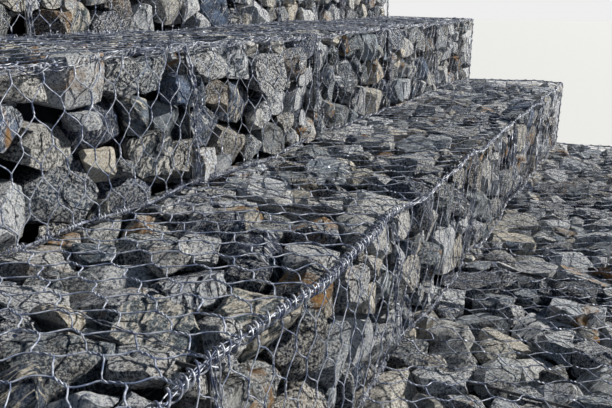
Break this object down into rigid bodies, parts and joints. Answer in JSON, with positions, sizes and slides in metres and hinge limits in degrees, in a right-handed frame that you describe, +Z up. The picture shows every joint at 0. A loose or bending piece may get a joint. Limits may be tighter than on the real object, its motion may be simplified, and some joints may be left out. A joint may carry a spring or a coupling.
{
  "type": "stepped gabion wall",
  "caption": "Stepped retaining wall of stone-filled wire baskets, set back tier by tier, with a flat upright back.",
  "frame": {"origin": "middle of the base, on the ground, halfway along the wall and halfway between its front foot and its back", "axes": "+X along the wall, -Y towards the stepped front, +Z up"},
  "size_m": [6.0406, 3.3951, 2.014],
  "materials": {
    "rock_fill": "rough broken quarry stone",
    "edge_wire": "zinc-coated wire, dull",
    "mesh_wire": "zinc-coated wire, dull"
  },
  "bodies": {
    "root": {"rock_fill_t1_b1": "rock_fill", "rock_fill_t1_b2": "rock_fill", "rock_fill_t1_b3": "rock_fill", "rock_fill_t1_b4": "rock_fill", "rock_fill_t1_b5": "rock_fill", "rock_fill_t1_b6": "rock_fill", "wire_cage_tier_1": "edge_wire", "diaphragms_tier_1": "mesh_wire", "rock_fill_t2_b1": "rock_fill", "rock_fill_t2_b2": "rock_fill", "rock_fill_t2_b3": "rock_fill", "rock_fill_t2_b4": "rock_fill", "rock_fill_t2_b5": "rock_fill", "rock_fill_t2_b6": "rock_fill", "wire_cage_tier_2": "edge_wire", "diaphragms_tier_2": "mesh_wire", "rock_fill_t3_b1": "rock_fill", "rock_fill_t3_b2": "rock_fill", "rock_fill_t3_b3": "rock_fill", "rock_fill_t3_b4": "rock_fill", "rock_fill_t3_b5": "rock_fill", "rock_fill_t3_b6": "rock_fill", "wire_cage_tier_3": "edge_wire", "diaphragms_tier_3": "mesh_wire", "rock_fill_t4_b1": "rock_fill", "rock_fill_t4_b2": "rock_fill", "rock_fill_t4_b3": "rock_fill", "rock_fill_t4_b4": "rock_fill", "rock_fill_t4_b5": "rock_fill", "rock_fill_t4_b6": "rock_fill", "wire_cage_tier_4": "edge_wire", "diaphragms_tier_4": "mesh_wire"}
  },
  "joints": []
}
